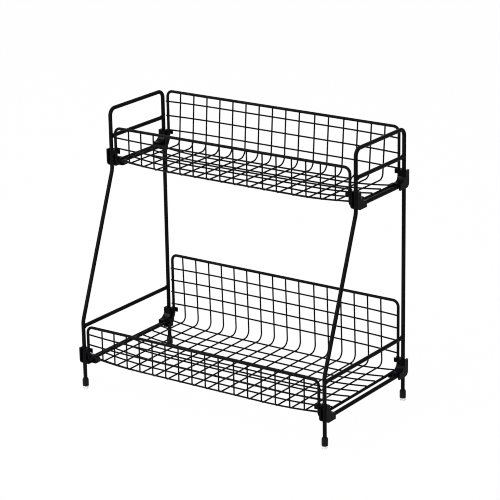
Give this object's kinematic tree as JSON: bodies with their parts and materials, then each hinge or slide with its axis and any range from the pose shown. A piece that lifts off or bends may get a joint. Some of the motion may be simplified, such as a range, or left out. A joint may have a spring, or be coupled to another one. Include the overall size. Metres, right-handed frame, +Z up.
{
  "type": "desktop rack",
  "caption": "Free-standing multi-tier desktop rack of black wire: stepped side frames of bent rod carry open-ended welded mesh baskets on snap clips, with rubber foot caps.",
  "frame": {"origin": "on the ground under the middle of the rack, midway between its front and back extents", "axes": "+X along the rack's length towards its right end, +Y towards its back, +Z up"},
  "size_m": [0.393, 0.1994, 0.3736],
  "materials": {
    "frame_powder_coat": "black satin powder coat on steel rod",
    "basket_powder_coat": "black satin powder coat on steel wire",
    "clip_plastic": "moulded black plastic, faint sheen",
    "foot_cap_rubber": "dull black rubber",
    "foot_pad_clear": "clear soft plastic"
  },
  "bodies": {
    "root": {"left_frame_hoop": "frame_powder_coat", "left_top_guard_bar": "frame_powder_coat", "left_upper_shelf_bar": "frame_powder_coat", "left_side_guard_bar": "frame_powder_coat", "left_lower_shelf_bar": "frame_powder_coat", "right_frame_hoop": "frame_powder_coat", "right_top_guard_bar": "frame_powder_coat", "right_upper_shelf_bar": "frame_powder_coat", "right_side_guard_bar": "frame_powder_coat", "right_lower_shelf_bar": "frame_powder_coat", "upper_basket_rim": "basket_powder_coat", "upper_basket_mesh": "basket_powder_coat", "lower_basket_rim": "basket_powder_coat", "lower_basket_mesh": "basket_powder_coat", "upper_left_front_clip": "clip_plastic", "upper_left_rear_clip": "clip_plastic", "upper_right_front_clip": "clip_plastic", "upper_right_rear_clip": "clip_plastic", "lower_left_front_clip": "clip_plastic", "lower_left_rear_clip": "clip_plastic", "lower_right_front_clip": "clip_plastic", "lower_right_rear_clip": "clip_plastic", "left_front_foot_cap": "foot_cap_rubber", "left_rear_foot_cap": "foot_cap_rubber", "right_front_foot_cap": "foot_cap_rubber", "right_rear_foot_cap": "foot_cap_rubber", "left_front_foot_pad": "foot_pad_clear", "left_rear_foot_pad": "foot_pad_clear", "right_front_foot_pad": "foot_pad_clear", "right_rear_foot_pad": "foot_pad_clear"}
  },
  "joints": []
}
